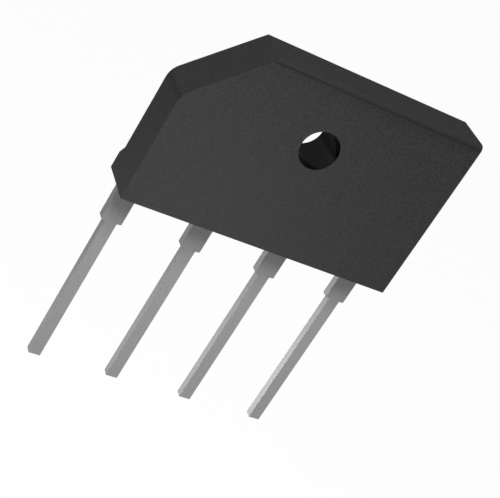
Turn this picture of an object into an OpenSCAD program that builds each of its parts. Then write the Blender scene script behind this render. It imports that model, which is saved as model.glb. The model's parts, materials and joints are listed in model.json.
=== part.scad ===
// Single-phase bridge rectifier in a flat single-in-line package: an epoxy body moulded round
// four stamped leads, four diode chips and three connecting clips.
// The part stands upright: +Z is up, the leads point down, and +Y is the heat-sink side.
// The origin is the centre of the mounting hole, in the plane of the upper rear face.
// All sizes are in millimetres.

/* [Body] */
// Width of the body along the row of leads
body_w = 25.2; // [25:0.1:25.8]
// Height of the body, without the leads
body_h = 15.3; // [15:0.1:15.8]
// Thickness of the body above the foot
body_t = 4.2; // [4:0.1:5]
// Leg of the 45 degree chamfer that marks the positive end
chamfer = 5.6; // [4.8:0.1:5.8]
// Radius between the chamfer and the positive end face
chamfer_corner_r = 1.75; // [0.5:0.05:3]
// Radius along the top front edge
front_edge_r = 0.5; // [0.1:0.05:0.8]

/* [Foot] */
// Step of the foot behind the upper rear face
foot_step = 0.55; // [0.2:0.05:1]
// Height of the foot's upright rear face
foot_h = 1.5; // [0.5:0.1:2]
// Height of the slope that joins the foot to the rear face
foot_slope_h = 0.75; // [0.2:0.05:1.5]

/* [Mounting hole] */
// Diameter of the hole for an M3 screw
hole_d = 3.4; // [3.1:0.1:3.6]
// Distance of the hole from the positive end face
hole_from_end = 12.5; // [12.4:0.1:12.6]
// Distance of the hole from the bottom face
hole_from_bottom = 9.7; // [9.5:0.1:9.8]

/* [Leads] */
// Distance between neighbouring leads
pitch = 7.3; // [7.2:0.05:7.4]
// Width of a lead where it enters the circuit board
lead_w = 1.05; // [0.9:0.05:1.2]
// Width of a lead above its shoulder
shoulder_w = 1.85; // [1.5:0.05:1.9]
// Thickness of the lead sheet
lead_t = 0.75; // [0.6:0.05:0.8]
// Length of a lead below the body
lead_len = 17.7; // [10:0.1:20]
// Length of the wide part of a lead below the body
shoulder_len = 3.65; // [3:0.05:4.5]
// Radius of the shoulder's outer corner and of its inner fillet
shoulder_r = 0.12; // [0.05:0.01:0.15]
// Epoxy between the lead sheet and the upper rear face
rear_cover = 0.65; // [0.5:0.05:0.8]

/* [Diode chips] */
// Side of the square chip at its base
chip_w = 3; // [2.4:0.1:3.2]
// Side of the square contact on the chip's top
chip_top_w = 2.4; // [2:0.1:2.4]
// Thickness of the chip with its solder
chip_t = 0.35; // [0.3:0.05:0.4]
// Height of the chip's upright edge, below its bevel
chip_edge_h = 0.15; // [0.1:0.05:0.2]

/* [Clips] */
// Width of a clip strip
clip_w = 1.6; // [1.2:0.1:2]
// Thickness of a clip strip
clip_t = 0.4; // [0.3:0.05:0.5]
// Length of a clip's flat contact on a chip or a pad
clip_contact = 1.6; // [1.4:0.1:1.8]
// Rise of a clip's bridge above its chip contact
clip_rise = 0.4; // [0.2:0.05:0.5]
// Length of a clip's sloping stretch
clip_ramp = 0.5; // [0.4:0.1:0.6]

/* [Hidden] */
$fn = 64;

epoxy = [0.16, 0.16, 0.165];
tinned = [0.72, 0.72, 0.7];
silicon = [0.35, 0.37, 0.42];
copper = [0.8, 0.5, 0.33];

// The body's outline, as distances from the mounting hole
end_pos = -hole_from_end;
end_neg = body_w - hole_from_end;
top = body_h - hole_from_bottom;
bottom = -hole_from_bottom;

// Depths of the layers inside the body, from the rear face towards the front
sheet_rear = -rear_cover;
sheet_front = sheet_rear - lead_t;
chip_front = sheet_front - chip_t;

// Heights along a lead
tip_z = bottom - lead_len;
shoulder_z = bottom - shoulder_len;

// Places of the leads along the row
positive_x = -1.5 * pitch;
ac_left_x = -0.5 * pitch;
ac_right_x = 0.5 * pitch;
negative_x = 1.5 * pitch;

// Epoxy between the pads and the body's bottom, top, chamfer and hole
bottom_cover = 1.3;
top_cover = 0.9;
chamfer_cover = 0.9;
hole_cover = 1.3;
pad_bottom = bottom + bottom_cover;
pad_top = top - top_cover;
hole_keep = hole_d / 2 + hole_cover;

// Places of the diode chips, as [x, z]
chip_row_z = -5.9;
chip_positive_left = [-9.1, -1.8];
chip_positive_right = [6.4, 2.4];
chip_negative_left = [ac_left_x, chip_row_z];
chip_negative_right = [ac_right_x, chip_row_z];

// Edges of the positive pad: its left part, the bevel beside the hole, and its drop on the right
positive_pad_right = -7.3;
positive_pad_bottom = -6;
bevel_bottom = 0.2;
bevel_right = -4.5;
drop_left = 4.4;
drop_right = 8.6;
drop_bottom = 0.4;

// Edges of the AC pads and of their ears
ac_pad_half = 2.55;
ac_pad_top = -3.2;
left_ear_right = -3.6;
left_ear_top = -0.4;
right_ear_left = 5;
right_ear_right = 7.8;
right_ear_top = -1;
right_ear_bottom = -3.6;

// Edges of the negative pad
negative_pad_left = 8.4;
negative_pad_bottom = -7.6;
negative_pad_top = -4.4;

// Places of the clips' last contacts
left_ear_contact_x = -4.9;
right_ear_contact_z = -2.2;
negative_contact_x = 9.5;

// How far a blade runs up into its pad, and a cutting cylinder past what it cuts
overlap = 1;

// Turns a drawing of X against Z into a plate that reaches from depth y_rear forwards by t
module plate(y_rear, t) {
    translate([0, y_rear, 0])
        rotate([90, 0, 0])
            linear_extrude(height = t)
                children();
}

// Turns a drawing of Y against Z into a bar along X from x_start, w long
module bar(x_start, w) {
    translate([x_start, 0, 0])
        rotate([90, 0, 90])
            linear_extrude(height = w)
                children();
}

// The sliver between a square corner at the origin and an arc of radius r that rounds it,
// with a margin outside the corner where the sliver is cut away
module corner_sliver(r, margin = 0) {
    difference() {
        translate([-margin, -margin]) square(r + margin);
        translate([r, r]) circle(r);
    }
}

// ---- Body ----

// What lies outside the arc where the chamfer meets the positive end face
module chamfer_corner_cut() {
    reach = chamfer_corner_r * tan(22.5);
    corner = [end_pos, top - chamfer];
    centre = corner + [chamfer_corner_r, -reach];
    outside = corner - overlap * [cos(22.5), -sin(22.5)];
    difference() {
        polygon([corner - [0, reach], centre, corner + reach * [cos(45), sin(45)], outside]);
        translate(centre) circle(chamfer_corner_r);
    }
}

// The body seen from the front: X against Z
module body_front() {
    difference() {
        polygon([
            [end_pos, bottom],
            [end_neg, bottom],
            [end_neg, top],
            [end_pos + chamfer, top],
            [end_pos, top - chamfer]
        ]);
        chamfer_corner_cut();
    }
}

// The body seen from its end: Y against Z
module body_side() {
    difference() {
        polygon([
            [-body_t, bottom],
            [foot_step, bottom],
            [foot_step, bottom + foot_h],
            [0, bottom + foot_h + foot_slope_h],
            [0, top],
            [-body_t, top]
        ]);
        translate([-body_t, top]) mirror([0, 1]) corner_sliver(front_edge_r, overlap);
    }
}

// Everything that the epoxy is moulded round
module inner_parts() {
    lead_positive();
    lead_ac_left();
    lead_ac_right();
    lead_negative();
    diode_positive_left();
    diode_positive_right();
    diode_negative_left();
    diode_negative_right();
    clip_ac_left();
    clip_ac_right();
    clip_negative();
}

module body() {
    color(epoxy)
        difference() {
            intersection() {
                plate(foot_step, body_t + foot_step) body_front();
                bar(end_pos, body_w) body_side();
            }
            translate([0, overlap, 0])
                rotate([90, 0, 0])
                    cylinder(d = hole_d, h = body_t + 2 * overlap);
            inner_parts();
        }
}

// ---- Leads ----

// Half of a lead's blade, right of its centre line, up to height z_end
module half_blade(z_end) {
    translate([0, tip_z]) square([lead_w / 2, z_end - tip_z]);
    difference() {
        translate([0, shoulder_z]) square([shoulder_w / 2, z_end - shoulder_z]);
        translate([shoulder_w / 2, shoulder_z]) mirror([1, 0]) corner_sliver(shoulder_r, overlap);
    }
    translate([lead_w / 2, shoulder_z]) mirror([0, 1]) corner_sliver(shoulder_r);
}

// A lead's blade at x, from its tip to height z_end
module blade(x, z_end) {
    translate([x, 0]) {
        half_blade(z_end);
        mirror([1, 0]) half_blade(z_end);
    }
}

// Cuts a lead and its pad from the lead sheet
module lead_sheet() {
    color(tinned) plate(sheet_rear, lead_t) children();
}

// The positive pad carries two chips, so it runs up past the chamfer and over the hole
module lead_positive() {
    left = positive_x - shoulder_w / 2;
    slant = end_pos - (top - chamfer) + chamfer_cover * sqrt(2);
    lead_sheet() {
        blade(positive_x, positive_pad_bottom + overlap);
        polygon([
            [left, positive_pad_bottom],
            [positive_pad_right, positive_pad_bottom],
            [positive_pad_right, bevel_bottom],
            [bevel_right, hole_keep],
            [drop_left, hole_keep],
            [drop_left, drop_bottom],
            [drop_right, drop_bottom],
            [drop_right, pad_top],
            [slant + pad_top, pad_top],
            [left, left - slant]
        ]);
    }
}

// The left AC pad carries one chip, and an ear beside the hole takes the clip
module lead_ac_left() {
    lead_sheet() {
        blade(ac_left_x, pad_bottom + overlap);
        polygon([
            [ac_left_x - ac_pad_half, pad_bottom],
            [ac_left_x + ac_pad_half, pad_bottom],
            [ac_left_x + ac_pad_half, ac_pad_top],
            [left_ear_right, ac_pad_top],
            [left_ear_right, left_ear_top],
            [ac_left_x - ac_pad_half, left_ear_top]
        ]);
    }
}

// The right AC pad carries one chip, and an ear at its outer corner takes the clip
module lead_ac_right() {
    lead_sheet() {
        blade(ac_right_x, pad_bottom + overlap);
        polygon([
            [ac_right_x - ac_pad_half, pad_bottom],
            [ac_right_x + ac_pad_half, pad_bottom],
            [ac_right_x + ac_pad_half, right_ear_bottom],
            [right_ear_right, right_ear_bottom],
            [right_ear_right, right_ear_top],
            [right_ear_left, right_ear_top],
            [right_ear_left, ac_pad_top],
            [ac_right_x - ac_pad_half, ac_pad_top]
        ]);
    }
}

// The negative pad carries no chip, only the end of the long clip
module lead_negative() {
    right = negative_x + shoulder_w / 2;
    lead_sheet() {
        blade(negative_x, negative_pad_bottom + overlap);
        translate([negative_pad_left, negative_pad_bottom])
            square([right - negative_pad_left, negative_pad_top - negative_pad_bottom]);
    }
}

// ---- Diode chips ----

// The chip's section: an upright edge, then a bevel up to the contact, from depth to front
module chip_section() {
    polygon([
        [-chip_w / 2, sheet_front],
        [-chip_w / 2, sheet_front - chip_edge_h],
        [-chip_top_w / 2, chip_front],
        [chip_top_w / 2, chip_front],
        [chip_w / 2, sheet_front - chip_edge_h],
        [chip_w / 2, sheet_front]
    ]);
}

// A square chip with a bevel on all four sides, at place [x, z]
module chip(place) {
    color(silicon)
        translate([place[0], 0, place[1]])
            intersection() {
                translate([0, 0, -chip_w / 2])
                    linear_extrude(height = chip_w)
                        chip_section();
                rotate([0, 90, 0])
                    translate([0, 0, -chip_w / 2])
                        linear_extrude(height = chip_w)
                            chip_section();
            }
}

module diode_positive_left() chip(chip_positive_left);
module diode_positive_right() chip(chip_positive_right);
module diode_negative_left() chip(chip_negative_left);
module diode_negative_right() chip(chip_negative_right);

// ---- Clips ----

// The underside of a bridge from a chip's contact centred at a to one centred at b
function bridge_from_chip(a, b) = [
    [a - clip_contact / 2, chip_front],
    [a + clip_contact / 2, chip_front],
    [a + clip_contact / 2 + clip_ramp, chip_front - clip_rise],
    [b - clip_contact / 2 - clip_ramp, chip_front - clip_rise]
];

// The underside of the clip's last contact, centred at b at the given depth
function last_contact(b, depth) = [
    [b - clip_contact / 2, depth],
    [b + clip_contact / 2, depth]
];

// A formed strip along +X with the given underside, as points [x, depth], centred on height 0
module formed_strip(underside) {
    count = len(underside);
    front = [for (i = [count - 1:-1:0]) underside[i] - [0, clip_t]];
    color(copper)
        translate([0, 0, -clip_w / 2])
            linear_extrude(height = clip_w)
                polygon(concat(underside, front));
}

// From the left chip on the positive pad, level across to the ear of the left AC pad
module clip_ac_left() {
    translate([0, 0, chip_positive_left[1]])
        formed_strip(concat(
            bridge_from_chip(chip_positive_left[0], left_ear_contact_x),
            last_contact(left_ear_contact_x, sheet_front)
        ));
}

// From the right chip on the positive pad, straight down to the ear of the right AC pad
module clip_ac_right() {
    drop = chip_positive_right[1] - right_ear_contact_z;
    translate([chip_positive_right[0], 0, chip_positive_right[1]])
        rotate([0, 90, 0])
            formed_strip(concat(
                bridge_from_chip(0, drop),
                last_contact(drop, sheet_front)
            ));
}

// Over both chips of the AC pads, level across to the negative pad
module clip_negative() {
    translate([0, 0, chip_row_z])
        formed_strip(concat(
            bridge_from_chip(ac_left_x, ac_right_x),
            bridge_from_chip(ac_right_x, negative_contact_x),
            last_contact(negative_contact_x, sheet_front)
        ));
}

body();
lead_positive();
lead_ac_left();
lead_ac_right();
lead_negative();
diode_positive_left();
diode_positive_right();
diode_negative_left();
diode_negative_right();
clip_ac_left();
clip_ac_right();
clip_negative();
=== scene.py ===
"""Looks of a single-in-line bridge rectifier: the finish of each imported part, the studio and the camera.

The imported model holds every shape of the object, so this script adds no piece to it. It dresses the moulded
body, the stamped leads, and the chips and clips that the body hides. Then it sets up the floor, the lamps,
the grey cards that the object mirrors, and the camera. Lengths are in metres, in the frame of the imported
model: the origin is the centre of the mounting hole on the heat-sink face, Z is up and Y points to the heat
sink.
"""

import json
import logging
import math
from dataclasses import dataclass, field
from enum import Enum

import bmesh
import bpy
from mathutils import Matrix, Vector


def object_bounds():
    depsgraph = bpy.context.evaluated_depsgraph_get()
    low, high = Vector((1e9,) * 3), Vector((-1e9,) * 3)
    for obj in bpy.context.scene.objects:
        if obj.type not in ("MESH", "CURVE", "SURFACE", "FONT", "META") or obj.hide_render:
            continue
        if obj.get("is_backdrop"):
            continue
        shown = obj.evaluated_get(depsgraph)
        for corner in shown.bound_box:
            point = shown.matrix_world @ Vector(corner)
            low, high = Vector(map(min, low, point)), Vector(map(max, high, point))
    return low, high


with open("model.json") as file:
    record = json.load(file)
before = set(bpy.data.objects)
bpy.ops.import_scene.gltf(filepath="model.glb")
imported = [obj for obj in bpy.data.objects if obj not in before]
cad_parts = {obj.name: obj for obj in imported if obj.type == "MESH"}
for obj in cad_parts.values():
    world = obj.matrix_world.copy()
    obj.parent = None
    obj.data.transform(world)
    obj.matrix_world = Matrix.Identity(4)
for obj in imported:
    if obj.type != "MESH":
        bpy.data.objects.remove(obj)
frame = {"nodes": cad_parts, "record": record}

LOG = logging.getLogger("bridge_rectifier")
MILLIMETRE = 0.001

# Radians about X, Y and Z, so that no flat face lies along the noise's own grid.
NOISE_TURN = (0.5, 0.35, 0.8)

# Factors that leave of an offset only what lies across X, or across Y.
ACROSS_X = (0.0, 1.0, 1.0)
ACROSS_Y = (1.0, 0.0, 1.0)

# The X part times the Z part of the normal of a face that looks left and up at 45 degrees.
CHAMFER_SLANT = -0.5

BLACK = (0.0, 0.0, 0.0, 1.0)
WHITE = (1.0, 1.0, 1.0, 1.0)

# The middle of the values that a Noise Texture gives.
NOISE_MIDDLE = 0.5

# Where a Mix node takes its factor, its two numbers and its two colours, and where it gives the result.
MIX_FACTOR = 0
MIX_NUMBERS = (2, 3)
MIX_COLOURS = (6, 7)
MIXED_NUMBER = 0
MIXED_COLOUR = 2


class Finish(Enum):
    """The finishes that the parts can have, by the names that the record gives their slots."""

    EPOXY = "epoxy"
    TINNED_LEAD = "tinned_lead"
    SILICON = "silicon"
    COPPER_CLIP = "copper_clip"


# ---------------------------------------------------------------------------
# Node building
# ---------------------------------------------------------------------------


class Graph:
    """A material's or world's node tree, with short calls for the nodes that the finishes use."""

    def __init__(self, tree: bpy.types.NodeTree) -> None:
        """Clears the tree.

        Args:
            tree: The node tree of a material or of the world.
        """
        self.tree = tree
        tree.nodes.clear()

    def node(self, kind: str, **settings: object) -> bpy.types.Node:
        """Adds a node.

        Args:
            kind: Blender's name of the node's type.
            **settings: Properties to set on the node.

        Returns:
            The new node.
        """
        made = self.tree.nodes.new(kind)
        for name, value in settings.items():
            setattr(made, name, value)
        return made

    def link(self, source: bpy.types.NodeSocket, target: bpy.types.NodeSocket) -> None:
        """Joins an output socket to an input socket."""
        self.tree.links.new(source, target)

    def feed(self, target: bpy.types.NodeSocket, value: object) -> None:
        """Gives an input socket a number, a colour or another node's output.

        Args:
            target: The input socket.
            value: A plain value, or the output socket to link.
        """
        if isinstance(value, bpy.types.NodeSocket):
            self.link(value, target)
        else:
            target.default_value = value

    def math(self, operation: str, *values: object) -> bpy.types.NodeSocket:
        """Adds a Math node.

        Args:
            operation: The node's operation.
            *values: Its inputs, each a number or an output socket.

        Returns:
            The node's result.
        """
        made = self.node("ShaderNodeMath", operation=operation)
        for target, value in zip(made.inputs, values):
            self.feed(target, value)
        return made.outputs[0]

    def mix(self, factor: object, low: object, high: object) -> bpy.types.NodeSocket:
        """Blends two numbers.

        Args:
            factor: 0 for low, 1 for high.
            low: The first number or output socket.
            high: The second number or output socket.

        Returns:
            The blended number.
        """
        made = self.node("ShaderNodeMix", data_type="FLOAT")
        for index, value in zip((MIX_FACTOR, *MIX_NUMBERS), (factor, low, high)):
            self.feed(made.inputs[index], value)
        return made.outputs[MIXED_NUMBER]

    def mix_colour(self, factor: object, low: object, high: object) -> bpy.types.NodeSocket:
        """Blends two colours.

        Args:
            factor: 0 for low, 1 for high.
            low: The first colour or output socket.
            high: The second colour or output socket.

        Returns:
            The blended colour.
        """
        made = self.node("ShaderNodeMix", data_type="RGBA")
        for index, value in zip((MIX_FACTOR, *MIX_COLOURS), (factor, low, high)):
            self.feed(made.inputs[index], value)
        return made.outputs[MIXED_COLOUR]

    def below(self, value: bpy.types.NodeSocket, limit: float) -> bpy.types.NodeSocket:
        """Returns 1 where a number is below a limit and 0 elsewhere."""
        return self.math("LESS_THAN", value, limit)

    def ramp(
        self,
        value: bpy.types.NodeSocket,
        start_end: tuple[float, float],
        levels: tuple[float, float],
    ) -> bpy.types.NodeSocket:
        """Turns one number into another that rises or falls evenly and is flat outside a range.

        Args:
            value: The number to read.
            start_end: Where the change starts and ends.
            levels: The result at those two places.

        Returns:
            The new number.
        """
        made = self.node("ShaderNodeMapRange")
        for name, number in zip(("From Min", "From Max", "To Min", "To Max"), (*start_end, *levels)):
            made.inputs[name].default_value = number
        self.link(value, made.inputs["Value"])
        return made.outputs["Result"]

    def place(self) -> bpy.types.NodeSocket:
        """Returns the point being shaded, in the object's own coordinates."""
        return self.node("ShaderNodeTexCoord").outputs["Object"]

    def facing(self, axis: str) -> bpy.types.NodeSocket:
        """Reads one part of the surface's normal, in the object's own coordinates.

        Args:
            axis: The part's letter, X, Y or Z.

        Returns:
            The part, from -1 to 1.
        """
        parts = self.node("ShaderNodeSeparateXYZ")
        self.link(self.node("ShaderNodeTexCoord").outputs["Normal"], parts.inputs[0])
        return parts.outputs[axis]

    def axis_distance(self, point: Vector, across: tuple[float, float, float]) -> bpy.types.NodeSocket:
        """Measures how far the point being shaded lies from a line along X or Y.

        Args:
            point: A point on the line.
            across: ACROSS_X for a line along X and ACROSS_Y for one along Y.

        Returns:
            The distance, in metres.
        """
        offset = self.node("ShaderNodeVectorMath", operation="SUBTRACT")
        self.link(self.place(), offset.inputs[0])
        offset.inputs[1].default_value = point
        flat = self.node("ShaderNodeVectorMath", operation="MULTIPLY")
        self.link(offset.outputs[0], flat.inputs[0])
        flat.inputs[1].default_value = across
        distance = self.node("ShaderNodeVectorMath", operation="LENGTH")
        self.link(flat.outputs[0], distance.inputs[0])
        return distance.outputs["Value"]

    def noise(
        self,
        size: float,
        detail: float = 2.0,
        stretch: tuple[float, float, float] = (1.0, 1.0, 1.0),
    ) -> bpy.types.NodeSocket:
        """Adds a noise whose values lie about 0.

        Args:
            size: The size of its features, in metres.
            detail: How many finer layers it has.
            stretch: How many times longer its features are along X, Y and Z.

        Returns:
            An output socket with values from about -0.5 to 0.5.
        """
        mapping = self.node("ShaderNodeMapping", vector_type="POINT")
        mapping.inputs["Scale"].default_value = [1.0 / factor for factor in stretch]
        mapping.inputs["Rotation"].default_value = NOISE_TURN
        self.link(self.place(), mapping.inputs["Vector"])
        texture = self.node("ShaderNodeTexNoise", noise_dimensions="3D")
        texture.inputs["Scale"].default_value = 1.0 / size
        texture.inputs["Detail"].default_value = detail
        self.link(mapping.outputs["Vector"], texture.inputs["Vector"])
        return self.math("SUBTRACT", texture.outputs[0], NOISE_MIDDLE)

    def shade_colour(
        self,
        colour: tuple[float, float, float],
        variation: bpy.types.NodeSocket,
    ) -> bpy.types.NodeSocket:
        """Lightens and darkens a colour.

        Args:
            colour: The colour, as linear red, green and blue.
            variation: How much lighter, as a share of the colour.

        Returns:
            The varied colour.
        """
        scale = self.node("ShaderNodeVectorMath", operation="SCALE")
        scale.inputs[0].default_value = colour
        self.link(self.math("ADD", 1.0, variation), scale.inputs["Scale"])
        return scale.outputs[0]

    def bump(self, height: bpy.types.NodeSocket, depth: float) -> bpy.types.NodeSocket:
        """Raises and sinks the surface's normal by a height.

        Args:
            height: The height, from about -0.5 to 0.5.
            depth: What a height of 1 stands for, in metres.

        Returns:
            The new normal.
        """
        made = self.node("ShaderNodeBump")
        made.inputs["Distance"].default_value = depth
        self.link(height, made.inputs["Height"])
        return made.outputs["Normal"]


def new_material(name: str) -> tuple[bpy.types.Material, Graph, bpy.types.Node]:
    """Makes a material that holds one Principled shader.

    Args:
        name: The material's name.

    Returns:
        The material, its graph and its shader.
    """
    material = bpy.data.materials.new(name)
    material.use_nodes = True
    graph = Graph(material.node_tree)
    shader = graph.node("ShaderNodeBsdfPrincipled")
    output = graph.node("ShaderNodeOutputMaterial")
    graph.link(shader.outputs["BSDF"], output.inputs["Surface"])
    return material, graph, shader


# ---------------------------------------------------------------------------
# Finishes
# ---------------------------------------------------------------------------


@dataclass(frozen=True)
class MouldedPlaces:
    """Where the finish and the painted shade of the body change, in its own coordinates.

    Attributes:
        hole: A point on the axis of the mounting hole, which runs along Y.
        hole_radius: The hole's radius.
        edge: A point on the line along X where the front and the top would meet if the edge were sharp.
        corner: A point on the line along Y where the painted shade on the round between the chamfer and the
            left side is darkest.
    """

    hole: Vector
    hole_radius: float
    edge: Vector
    corner: Vector


@dataclass(frozen=True)
class MouldedEpoxy:
    """Black moulding compound with a fine matte grain.

    The wall of the hole is smoother, because a polished pin cores it, and its grey is painted nearly black as
    shade. The grain is weaker on the chamfer and on the rounded top front edge. The front is smoother in a
    band below that edge and has painted shade there, and a line of painted shade runs along the round between
    the chamfer and the left side.

    Attributes:
        grey: The grey of the outer faces.
        painted_shade_bore_grey: The grey of the hole's wall, painted nearly black as shade.
        roughness: The roughness of the outer faces.
        bore_roughness: The roughness of the hole's wall.
        gloss: The shader's specular level.
        grain_size: The size of the grain.
        grain_draw: How many times longer the grain is along Y.
        grain_contrast: How much the grain lightens and darkens the grey.
        grain_gloss: How much the grain changes the roughness.
        grain_depth: The height of the grain's bump.
        mottle_size: The size of the faint clouds.
        mottle_contrast: How much they lighten and darken the grey.
        wall_margin: How far outside the hole's radius a point still belongs to its wall.
        chamfer_calm: The share of the grain that the chamfer lacks.
        edge_calm: The share of the grain that the rounded edge lacks.
        edge_width: How far from the edge the grain is at its weakest, and where it is at its full strength.
        band_width: How far from the edge the band of painted shade is at its darkest, and where it ends.
        band_turn: The Y part of the normal where the band is at its darkest, and where it ends.
        painted_band_shade: The share of the grey that the band loses to painted shade.
        band_polish: How much smoother the band is.
        corner_width: How far from the corner its painted shade is full, and where it ends.
        corner_turn: The size of the normal's Y part where that painted shade starts to fade, and where it
            ends.
        corner_painted_shade: The share of the grey that the corner loses to painted shade.
    """

    grey: float = 0.021
    painted_shade_bore_grey: float = 0.001
    roughness: float = 0.38
    bore_roughness: float = 0.1
    gloss: float = 0.15
    grain_size: float = 0.1 * MILLIMETRE
    grain_draw: float = 2.0
    grain_contrast: float = 2.9
    grain_gloss: float = 0.1
    grain_depth: float = 0.008 * MILLIMETRE
    mottle_size: float = 1.3 * MILLIMETRE
    mottle_contrast: float = 0.10
    wall_margin: float = 0.003 * MILLIMETRE
    chamfer_calm: float = 0.4
    edge_calm: float = 0.75
    edge_width: tuple[float, float] = (0.5 * MILLIMETRE, 0.65 * MILLIMETRE)
    band_width: tuple[float, float] = (0.35 * MILLIMETRE, 1.6 * MILLIMETRE)
    band_turn: tuple[float, float] = (-0.999, -0.93)
    painted_band_shade: float = 0.3
    band_polish: float = 0.04
    corner_width: tuple[float, float] = (0.06 * MILLIMETRE, 0.36 * MILLIMETRE)
    corner_turn: tuple[float, float] = (0.5, 0.9)
    corner_painted_shade: float = 0.42

    def build(self, places: MouldedPlaces) -> bpy.types.Material:
        """Makes the material.

        Args:
            places: Where the finish changes.

        Returns:
            The material.
        """
        material, graph, shader = new_material("moulded_epoxy")
        in_bore = self.bore_mask(graph, places)
        in_band = self.band_mask(graph, places)
        grain = graph.noise(self.grain_size, detail=1.0, stretch=(1.0, self.grain_draw, 1.0))
        grain = graph.math("MULTIPLY", grain, self.grain_share(graph, places))
        mottle = graph.noise(self.mottle_size, detail=3.0)
        variation = graph.math(
            "ADD",
            graph.math("MULTIPLY", grain, self.grain_contrast),
            graph.math("MULTIPLY", mottle, self.mottle_contrast),
        )
        # Painted shade: the grey is darkened in the band below the rounded top front edge.
        painted_band_shade = graph.math("MULTIPLY", in_band, self.painted_band_shade)
        # Painted shade: a dark line along the round between the chamfer and the left side is added.
        shade = graph.math("ADD", painted_band_shade, self.painted_corner_darkness(graph, places))
        face = graph.shade_colour((self.grey,) * 3, graph.math("SUBTRACT", variation, shade))
        # Painted shade: the hole's wall takes a grey painted nearly black.
        wall = graph.shade_colour((self.painted_shade_bore_grey,) * 3, variation)
        graph.link(graph.mix_colour(in_bore, face, wall), shader.inputs["Base Color"])
        rough = graph.math("SUBTRACT", self.roughness, graph.math("MULTIPLY", in_band, self.band_polish))
        grainy = graph.math("ADD", rough, graph.math("MULTIPLY", grain, self.grain_gloss))
        graph.link(graph.mix(in_bore, grainy, self.bore_roughness), shader.inputs["Roughness"])
        shader.inputs["Specular IOR Level"].default_value = self.gloss
        relief = graph.math("MULTIPLY", grain, graph.math("SUBTRACT", 1.0, in_bore))
        graph.link(graph.bump(relief, self.grain_depth), shader.inputs["Normal"])
        return material

    def bore_mask(self, graph: Graph, places: MouldedPlaces) -> bpy.types.NodeSocket:
        """Tells the wall of the mounting hole from every other face.

        Args:
            graph: The material's graph.
            places: Where the finish changes.

        Returns:
            1 on the hole's wall and 0 elsewhere.
        """
        distance = graph.axis_distance(places.hole, ACROSS_Y)
        return graph.below(distance, places.hole_radius + self.wall_margin)

    def band_mask(self, graph: Graph, places: MouldedPlaces) -> bpy.types.NodeSocket:
        """Finds the band of the front along its rounded top edge, where shade is painted and the roughness is
        lower.

        Args:
            graph: The material's graph.
            places: Where the finish changes.

        Returns:
            1 in the band, less towards its lower border and round the edge, and 0 elsewhere.
        """
        near = graph.ramp(graph.axis_distance(places.edge, ACROSS_X), self.band_width, (1.0, 0.0))
        frontal = graph.ramp(graph.facing("Y"), self.band_turn, (1.0, 0.0))
        return graph.math("MULTIPLY", near, frontal)

    def painted_corner_darkness(self, graph: Graph, places: MouldedPlaces) -> bpy.types.NodeSocket:
        """Finds how much shade is painted along the corner between the chamfer and the left side.

        Args:
            graph: The material's graph.
            places: Where the finish changes.

        Returns:
            The share of the grey that is missing, down to 0 outside the corner.
        """
        distance = graph.axis_distance(places.corner, ACROSS_Y)
        near = graph.ramp(distance, self.corner_width, (self.corner_painted_shade, 0.0))
        frontal = graph.math("ABSOLUTE", graph.facing("Y"))
        return graph.math("MULTIPLY", near, graph.ramp(frontal, self.corner_turn, (1.0, 0.0)))

    def grain_share(self, graph: Graph, places: MouldedPlaces) -> bpy.types.NodeSocket:
        """Weakens the grain on the rounded edge and on the chamfer, which looks both left and up.

        Args:
            graph: The material's graph.
            places: Where the finish changes.

        Returns:
            The share of the grain that a face has.
        """
        slant = graph.math("MULTIPLY", graph.facing("X"), graph.facing("Z"))
        on_chamfer = graph.ramp(slant, (CHAMFER_SLANT, 0.0), (1.0 - self.chamfer_calm, 1.0))
        distance = graph.axis_distance(places.edge, ACROSS_X)
        by_edge = graph.ramp(distance, self.edge_width, (1.0 - self.edge_calm, 1.0))
        return graph.math("MULTIPLY", on_chamfer, by_edge)


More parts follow.
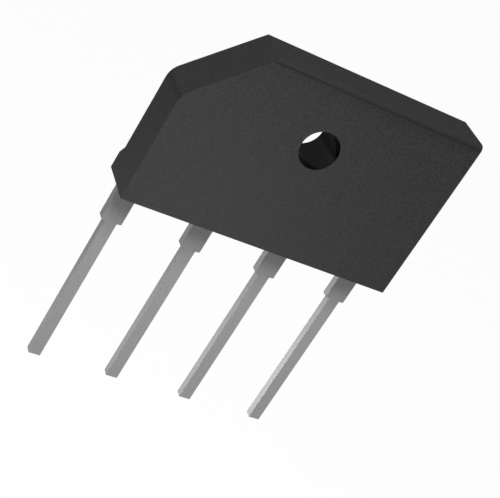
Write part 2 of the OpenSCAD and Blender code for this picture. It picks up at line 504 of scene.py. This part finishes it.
@dataclass(frozen=True)
class TinPlate:
    """Dull tin plating over rolled copper strip, with faint streaks along it and shinier sheared edges.

    Attributes:
        colour: The colour of the rolled faces.
        edge_colour: The colour of the sheared edges.
        metallic: How much the rolled faces shade as metal, from 0 to 1.
        edge_metallic: How much the sheared edges do.
        roughness: The roughness of the rolled faces.
        edge_roughness: The roughness of the sheared edges.
        gloss: The shader's specular level.
        streak_size: The width of the streaks.
        streak_length: How many times longer than wide they are.
        streak_contrast: How much they lighten and darken the colour.
        grain_size: The size of the fine grain.
        grain_contrast: How much it lightens and darkens the rolled faces.
        edge_grain_contrast: How much it does so on the sheared edges.
        grain_depth: The height of the bump that the streaks and the grain make.
        rolled_turn: The least that the normal of a rolled face points along Y, from 0 to 1.
    """

    colour: tuple[float, float, float] = (0.31, 0.31, 0.31)
    edge_colour: tuple[float, float, float] = (0.385, 0.385, 0.382)
    metallic: float = 0.05
    edge_metallic: float = 0.9
    roughness: float = 0.5
    edge_roughness: float = 0.27
    gloss: float = 0.2
    streak_size: float = 0.14 * MILLIMETRE
    streak_length: float = 14.0
    streak_contrast: float = 0.08
    grain_size: float = 0.12 * MILLIMETRE
    grain_contrast: float = 0.35
    edge_grain_contrast: float = 0.15
    grain_depth: float = 0.0003 * MILLIMETRE
    rolled_turn: float = 0.5

    def build(self) -> bpy.types.Material:
        """Makes the material.

        Returns:
            The material.
        """
        material, graph, shader = new_material("tin_plate")
        streaks = graph.noise(self.streak_size, stretch=(1.0, 1.0, self.streak_length))
        grain = graph.noise(self.grain_size, detail=1.0)
        sheared = self.sheared_mask(graph)
        grainy = graph.mix(sheared, self.grain_contrast, self.edge_grain_contrast)
        variation = graph.math(
            "ADD",
            graph.math("MULTIPLY", streaks, self.streak_contrast),
            graph.math("MULTIPLY", grain, grainy),
        )
        rolled_face = graph.shade_colour(self.colour, variation)
        sheared_edge = graph.shade_colour(self.edge_colour, variation)
        graph.link(graph.mix_colour(sheared, rolled_face, sheared_edge), shader.inputs["Base Color"])
        graph.link(graph.mix(sheared, self.roughness, self.edge_roughness), shader.inputs["Roughness"])
        graph.link(graph.mix(sheared, self.metallic, self.edge_metallic), shader.inputs["Metallic"])
        shader.inputs["Specular IOR Level"].default_value = self.gloss
        relief = graph.math("ADD", streaks, grain)
        graph.link(graph.bump(relief, self.grain_depth), shader.inputs["Normal"])
        return material

    def sheared_mask(self, graph: Graph) -> bpy.types.NodeSocket:
        """Tells the edges that a punch cut from the rolled faces, which look along Y.

        Args:
            graph: The material's graph.

        Returns:
            1 on a sheared edge and 0 on a rolled face.
        """
        return graph.below(graph.math("ABSOLUTE", graph.facing("Y")), self.rolled_turn)


@dataclass(frozen=True)
class GroundSilicon:
    """A diode chip: grey silicon with the faint swirl of grinding.

    Attributes:
        colour: Its colour.
        metallic: How much it shades as metal, from 0 to 1.
        roughness: Its roughness.
        swirl_size: The size of the swirl's features.
        swirl_contrast: How much they lighten and darken the colour.
        swirl_depth: The height of their bump.
    """

    colour: tuple[float, float, float] = (0.12, 0.13, 0.16)
    metallic: float = 0.4
    roughness: float = 0.35
    swirl_size: float = 0.3 * MILLIMETRE
    swirl_contrast: float = 0.3
    swirl_depth: float = 0.002 * MILLIMETRE

    def build(self) -> bpy.types.Material:
        """Makes the material.

        Returns:
            The material.
        """
        material, graph, shader = new_material("ground_silicon")
        swirl = graph.noise(self.swirl_size, detail=4.0)
        variation = graph.math("MULTIPLY", swirl, self.swirl_contrast)
        graph.link(graph.shade_colour(self.colour, variation), shader.inputs["Base Color"])
        shader.inputs["Metallic"].default_value = self.metallic
        shader.inputs["Roughness"].default_value = self.roughness
        graph.link(graph.bump(swirl, self.swirl_depth), shader.inputs["Normal"])
        return material


@dataclass(frozen=True)
class RolledCopper:
    """Bare copper strip, slightly uneven in colour and brushed by its rolling.

    Attributes:
        colour: Its colour.
        roughness: Its roughness.
        cloud_size: The size of the faint clouds.
        cloud_contrast: How much they lighten and darken the colour.
        brush_size: The width of the brush marks.
        brush_length: How many times longer than wide they are.
        brush_depth: The height of their bump.
    """

    colour: tuple[float, float, float] = (0.72, 0.36, 0.2)
    roughness: float = 0.36
    cloud_size: float = 0.8 * MILLIMETRE
    cloud_contrast: float = 0.25
    brush_size: float = 0.08 * MILLIMETRE
    brush_length: float = 12.0
    brush_depth: float = 0.002 * MILLIMETRE

    def build(self) -> bpy.types.Material:
        """Makes the material.

        Returns:
            The material.
        """
        material, graph, shader = new_material("rolled_copper")
        cloud = graph.math("MULTIPLY", graph.noise(self.cloud_size, detail=3.0), self.cloud_contrast)
        brush = graph.noise(self.brush_size, stretch=(self.brush_length, 1.0, 1.0))
        graph.link(graph.shade_colour(self.colour, cloud), shader.inputs["Base Color"])
        shader.inputs["Metallic"].default_value = 1.0
        shader.inputs["Roughness"].default_value = self.roughness
        graph.link(graph.bump(brush, self.brush_depth), shader.inputs["Normal"])
        return material


# ---------------------------------------------------------------------------
# Sub-assemblies
# ---------------------------------------------------------------------------


def dress(node: str, material: bpy.types.Material) -> None:
    """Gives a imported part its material.

    Args:
        node: The part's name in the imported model.
        material: Its material.
    """
    part = frame["nodes"][node]
    part.data.materials.clear()
    part.data.materials.append(material)


@dataclass
class Moulding:
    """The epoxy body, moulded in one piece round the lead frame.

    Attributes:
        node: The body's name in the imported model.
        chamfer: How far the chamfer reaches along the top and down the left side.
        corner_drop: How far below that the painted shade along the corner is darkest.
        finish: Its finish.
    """

    node: str = "body"
    chamfer: float = 5.6 * MILLIMETRE
    corner_drop: float = 0.24 * MILLIMETRE
    finish: MouldedEpoxy = field(default_factory=MouldedEpoxy)

    def build(self) -> list[str]:
        """Dresses the body.

        Returns:
            The names of the parts that were dressed.
        """
        dress(self.node, self.finish.build(self.places()))
        return [self.node]

    def places(self) -> MouldedPlaces:
        """Finds where the finish and the painted shade change, from the mounting hole of the record and the
        size of the object.

        Returns:
            The places, in the body's own coordinates.
        """
        mount = next(mount for mount in frame["record"]["mounts"] if mount["name"] == "mounting_hole")
        low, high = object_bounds()
        return MouldedPlaces(
            hole=Vector(mount["pos_m"]),
            hole_radius=mount["dims"]["r_mm"] * MILLIMETRE,
            edge=Vector((0.0, low[1], high[2])),
            corner=Vector((low[0], 0.0, high[2] - self.chamfer - self.corner_drop)),
        )


@dataclass
class LeadFrame:
    """The stamped leads with their pads.

    Attributes:
        nodes: The leads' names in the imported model.
        finish: Their finish.
    """

    nodes: tuple[str, ...] = ("lead_positive", "lead_ac_left", "lead_ac_right", "lead_negative")
    finish: TinPlate = field(default_factory=TinPlate)

    def build(self) -> list[str]:
        """Dresses the leads.

        Returns:
            The names of the parts that were dressed.
        """
        material = self.finish.build()
        for node in self.nodes:
            dress(node, material)
        return list(self.nodes)


@dataclass
class Bridge:
    """What the body hides: the diode chips on the pads and the clips that join them.

    Attributes:
        chips: The chips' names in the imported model.
        clips: The clips' names there.
        silicon: The chips' finish.
        copper: The clips' finish.
    """

    chips: tuple[str, ...] = (
        "diode_positive_left",
        "diode_positive_right",
        "diode_negative_left",
        "diode_negative_right",
    )
    clips: tuple[str, ...] = ("clip_ac_left", "clip_ac_right", "clip_negative")
    silicon: GroundSilicon = field(default_factory=GroundSilicon)
    copper: RolledCopper = field(default_factory=RolledCopper)

    def build(self) -> list[str]:
        """Dresses the chips and the clips.

        Returns:
            The names of the parts that were dressed.
        """
        silicon = self.silicon.build()
        copper = self.copper.build()
        for node in self.chips:
            dress(node, silicon)
        for node in self.clips:
            dress(node, copper)
        return [*self.chips, *self.clips]


# ---------------------------------------------------------------------------
# Studio
# ---------------------------------------------------------------------------


def direction(azimuth: float, elevation: float) -> Vector:
    """Points from the object towards a place round it.

    Args:
        azimuth: The angle round the object, in degrees; 0 is in front of it and 90 on its right.
        elevation: The angle above the horizon, in degrees.

    Returns:
        The unit vector.
    """
    turn, rise = math.radians(azimuth), math.radians(elevation)
    return Vector((math.sin(turn) * math.cos(rise), -math.cos(turn) * math.cos(rise), math.sin(rise)))


@dataclass(frozen=True)
class Softbox:
    """A square soft lamp that looks at the middle of the object.

    Attributes:
        name: The lamp's name.
        azimuth: Its direction from the object, in degrees; 0 is in front of it and 90 on its right.
        elevation: Its height above the horizon, in degrees.
        distance: Its distance, in heights of the object.
        side: The length of its side, in heights of the object.
        level: The light that it gives a white face that looks straight at it, where 1 is white.
    """

    name: str
    azimuth: float
    elevation: float
    distance: float
    side: float
    level: float

    def build(self, centre: Vector, height: float) -> bpy.types.Object:
        """Makes the lamp.

        Args:
            centre: The middle of the object.
            height: The object's height.

        Returns:
            The lamp, which no camera sees.
        """
        reach = self.distance * height
        side = self.side * height
        data = bpy.data.lights.new(self.name, "AREA")
        data.shape = "SQUARE"
        data.size = side
        # A white face lit straight on by a power P at a distance R looks as bright as P / (pi * R) ** 2.
        data.energy = self.level * (math.pi * reach) ** 2
        lamp = bpy.data.objects.new(self.name, data)
        away = direction(self.azimuth, self.elevation)
        lamp.location = centre + away * reach
        lamp.rotation_mode = "QUATERNION"
        lamp.rotation_quaternion = away.to_track_quat("Z", "Y")
        lamp.visible_camera = False
        bpy.context.scene.collection.objects.link(lamp)
        return lamp


@dataclass(frozen=True)
class GreyCard:
    """An upright card that only mirrored rays see, so that it dims what the object mirrors and nothing else.

    Left and right are as seen from the object, and every length is in heights of the object.

    Attributes:
        name: The card's name.
        azimuth: Its direction from the object, in degrees.
        distance: Its distance.
        left: How far it reaches to the left of that direction.
        right: How far it reaches to the right.
        bottom: How far its lower edge lies above the middle of the object.
        top: How far its upper edge lies above the middle of the object.
        left_level: How light its left part looks to the object, where 1 is white.
        right_level: How light its right part looks.
        low_share: The share of that light which its lower part keeps.
        across: The width of the blend from left to right.
        upward: The height of the blend from the lower part to the upper one, which starts at low_edge.
        low_edge: How far above the middle of the object the lower part ends.
    """

    name: str
    azimuth: float
    distance: float
    left: float
    right: float
    bottom: float
    top: float
    left_level: float
    right_level: float
    low_share: float = 1.0
    across: float = 7.0
    upward: float = 3.0
    low_edge: float = -1.5

    def build(self, centre: Vector, height: float) -> bpy.types.Object:
        """Makes the card.

        Args:
            centre: The middle of the object.
            height: The object's height.

        Returns:
            The card, marked as part of the stage.
        """
        mesh = bpy.data.meshes.new(self.name)
        shape = bmesh.new()
        sides = Matrix.Diagonal((self.left + self.right, self.top - self.bottom, 1.0, 1.0))
        middle = ((self.left - self.right) / 2, (self.top + self.bottom) / 2, 0.0)
        # A grid of size 0.5 is a square with sides of 1.
        bmesh.ops.create_grid(shape, x_segments=1, y_segments=1, size=0.5, matrix=sides)
        bmesh.ops.translate(shape, vec=middle, verts=shape.verts)
        bmesh.ops.scale(shape, vec=(height,) * 3, verts=shape.verts)
        shape.to_mesh(mesh)
        shape.free()
        mesh.materials.append(self.paint(height))
        card = bpy.data.objects.new(self.name, mesh)
        away = direction(self.azimuth, 0.0)
        card.location = centre + away * self.distance * height
        card.rotation_mode = "QUATERNION"
        card.rotation_quaternion = away.to_track_quat("Z", "Y")
        card.visible_camera = False
        card.visible_diffuse = False
        card.visible_shadow = False
        bpy.context.scene.collection.objects.link(card)
        card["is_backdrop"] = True
        return card

    def paint(self, height: float) -> bpy.types.Material:
        """Makes the card's greys, which no lamp changes.

        Args:
            height: The object's height.

        Returns:
            The material.
        """
        material, graph, shader = new_material(self.name)
        parts = graph.node("ShaderNodeSeparateXYZ")
        graph.link(graph.place(), parts.inputs[0])
        half = self.across * height / 2
        sideways = graph.ramp(parts.outputs["X"], (-half, half), (self.right_level, self.left_level))
        low_edge = self.low_edge * height
        edges = (low_edge, low_edge + self.upward * height)
        share = graph.ramp(parts.outputs["Y"], edges, (self.low_share, 1.0))
        shader.inputs["Base Color"].default_value = BLACK
        shader.inputs["Specular IOR Level"].default_value = 0.0
        shader.inputs["Emission Color"].default_value = WHITE
        graph.link(graph.math("MULTIPLY", sideways, share), shader.inputs["Emission Strength"])
        # Only rays that are mirrored into the card find it: it isn't sampled as a lamp.
        material.cycles.emission_sampling = "NONE"
        return material


@dataclass
class Studio:
    """A pale floor, an even sky, the lamps and the cards.

    Attributes:
        floor_drop: How far the floor lies below the object, in heights of the object.
        floor_size: The length of its side, in heights of the object.
        floor_grey: How much of the light that falls on it the floor gives back.
        floor_roughness: The floor's roughness.
        floor_lift: The brightness that is added to the floor where it is seen or mirrored, where 1 is white.
        sky_level: The brightness of the sky where it only lights, where 1 is white.
        softboxes: The lamps.
        cards: The cards.
    """

    floor_drop: float = 6.0
    floor_size: float = 200.0
    floor_grey: float = 0.5
    floor_roughness: float = 0.9
    floor_lift: float = 0.83
    sky_level: float = 0.28
    softboxes: tuple[Softbox, ...] = (
        Softbox("key", azimuth=-20.0, elevation=50.0, distance=4.0, side=2.0, level=1.0),
        Softbox("sheen", azimuth=22.0, elevation=-23.0, distance=8.0, side=1.4, level=0.158),
        Softbox("fill", azimuth=165.0, elevation=-20.0, distance=8.0, side=3.0, level=0.5),
        Softbox("rim", azimuth=-136.5, elevation=-27.5, distance=10.0, side=1.2, level=0.075),
    )
    cards: tuple[GreyCard, ...] = (
        GreyCard(
            "back_card",
            azimuth=180.0,
            distance=7.0,
            left=5.1,
            right=15.0,
            bottom=-9.0,
            top=9.0,
            left_level=0.365,
            right_level=0.12,
            low_share=0.4,
        ),
        GreyCard(
            "right_card",
            azimuth=75.0,
            distance=3.0,
            left=4.3,
            right=4.3,
            bottom=0.0,
            top=3.7,
            left_level=0.05,
            right_level=0.05,
        ),
        GreyCard(
            "upper_card",
            azimuth=105.0,
            distance=3.0,
            left=3.5,
            right=3.5,
            bottom=3.7,
            top=9.0,
            left_level=0.45,
            right_level=0.45,
        ),
    )

    def build(self, low: Vector, high: Vector) -> list[str]:
        """Makes the floor, the cards, the sky and the lamps.

        Args:
            low: The object's lowest corner.
            high: The object's highest corner.

        Returns:
            The names of what was made.
        """
        height = high.z - low.z
        centre = (low + high) / 2
        floor = self.floor(low.z - self.floor_drop * height, self.floor_size * height)
        cards = [card.build(centre, height) for card in self.cards]
        self.sky()
        lamps = [box.build(centre, height) for box in self.softboxes]
        return [floor.name, *(card.name for card in cards), *(lamp.name for lamp in lamps)]

    def floor(self, level: float, size: float) -> bpy.types.Object:
        """Makes the floor.

        Args:
            level: Its height.
            size: The length of its side.

        Returns:
            The floor, marked as part of the stage.
        """
        mesh = bpy.data.meshes.new("floor")
        shape = bmesh.new()
        bmesh.ops.create_grid(shape, x_segments=1, y_segments=1, size=size / 2)
        bmesh.ops.translate(shape, vec=(0.0, 0.0, level), verts=shape.verts)
        shape.to_mesh(mesh)
        shape.free()
        mesh.materials.append(self.floor_paint())
        floor = bpy.data.objects.new("floor", mesh)
        bpy.context.scene.collection.objects.link(floor)
        floor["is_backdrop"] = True
        return floor

    def floor_paint(self) -> bpy.types.Material:
        """Makes the floor's matte grey, lifted near to white where it is seen, so that only shadows show.

        Returns:
            The material.
        """
        material, graph, shader = new_material("floor_paint")
        shader.inputs["Base Color"].default_value = (self.floor_grey,) * 3 + (1.0,)
        shader.inputs["Roughness"].default_value = self.floor_roughness
        shader.inputs["Specular IOR Level"].default_value = 0.0
        shader.inputs["Emission Color"].default_value = WHITE
        seen = self.seen_directly(graph)
        graph.link(graph.math("MULTIPLY", seen, self.floor_lift), shader.inputs["Emission Strength"])
        return material

    def seen_directly(self, graph: Graph) -> bpy.types.NodeSocket:
        """Tells the rays that show the background from those that light the object.

        Args:
            graph: The graph of a material or of the world.

        Returns:
            1 for camera, mirrored and transmitted rays and 0 for the rest.
        """
        path = graph.node("ShaderNodeLightPath")
        mirrored = graph.math("MAXIMUM", path.outputs["Is Glossy Ray"], path.outputs["Is Transmission Ray"])
        return graph.math("MAXIMUM", path.outputs["Is Camera Ray"], mirrored)

    def sky(self) -> None:
        """Makes the even sky, plain white where it is seen or mirrored and dimmer where it only lights."""
        scene = bpy.context.scene
        scene.world = bpy.data.worlds.new("sky")
        scene.world.use_nodes = True
        graph = Graph(scene.world.node_tree)
        background = graph.node("ShaderNodeBackground")
        background.inputs["Color"].default_value = WHITE
        strength = graph.mix(self.seen_directly(graph), self.sky_level, 1.0)
        graph.link(strength, background.inputs["Strength"])
        output = graph.node("ShaderNodeOutputWorld")
        graph.link(background.outputs[0], output.inputs["Surface"])


# ---------------------------------------------------------------------------
# Camera
# ---------------------------------------------------------------------------


@dataclass
class ProductCamera:
    """The camera, in front of the object, to its left and above it.

    It is rolled, so that the leads run down to the left in the picture.

    Attributes:
        azimuth: Its direction from the object, in degrees; 0 is in front of it and 90 on its right.
        elevation: Its height above the horizon, in degrees.
        roll: How far it is turned about its line of sight, in degrees.
        distance: Its distance from the point that it looks at.
        aim_offset: Where that point lies from the middle of the object.
        lens: Its focal length, in millimetres.
        sensor: The width of its sensor, in millimetres.
        near_clip: Where things start to show, as a share of the distance.
        far_clip: Where they stop showing, in distances.
    """

    azimuth: float = -30.05
    elevation: float = 23.387
    roll: float = 32.64
    distance: float = 115.17 * MILLIMETRE
    aim_offset: tuple[float, float, float] = (0.544 * MILLIMETRE, -0.377 * MILLIMETRE, -0.126 * MILLIMETRE)
    lens: float = 101.1
    sensor: float = 36.0
    near_clip: float = 0.1
    far_clip: float = 100.0

    def build(self, low: Vector, high: Vector) -> bpy.types.Object:
        """Makes the camera and takes it into use.

        Args:
            low: The object's lowest corner.
            high: The object's highest corner.

        Returns:
            The camera.
        """
        data = bpy.data.cameras.new("camera")
        data.sensor_fit = "HORIZONTAL"
        data.sensor_width = self.sensor
        data.lens = self.lens
        data.clip_start = self.distance * self.near_clip
        data.clip_end = self.distance * self.far_clip
        camera = bpy.data.objects.new("camera", data)
        back = direction(self.azimuth, self.elevation)
        aim = (low + high) / 2 + Vector(self.aim_offset)
        level = back.to_track_quat("Z", "Y").to_matrix()
        turned = level @ Matrix.Rotation(math.radians(self.roll), 3, "Z")
        camera.matrix_world = Matrix.Translation(aim + back * self.distance) @ turned.to_4x4()
        bpy.context.scene.collection.objects.link(camera)
        bpy.context.scene.camera = camera
        return camera


def main() -> None:
    """Dresses the object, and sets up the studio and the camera."""
    logging.basicConfig(level=logging.INFO, format="%(name)s: %(message)s")
    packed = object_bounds()
    for part in (Moulding(), LeadFrame(), Bridge()):
        LOG.info("%s: %s", type(part).__name__, ", ".join(part.build()))
    LOG.info("Studio: %s", ", ".join(Studio().build(*packed)))
    LOG.info("ProductCamera: %s", ProductCamera().build(*packed).name)
    bpy.context.scene.view_settings.view_transform = "Standard"


if __name__ == "__main__":
    main()
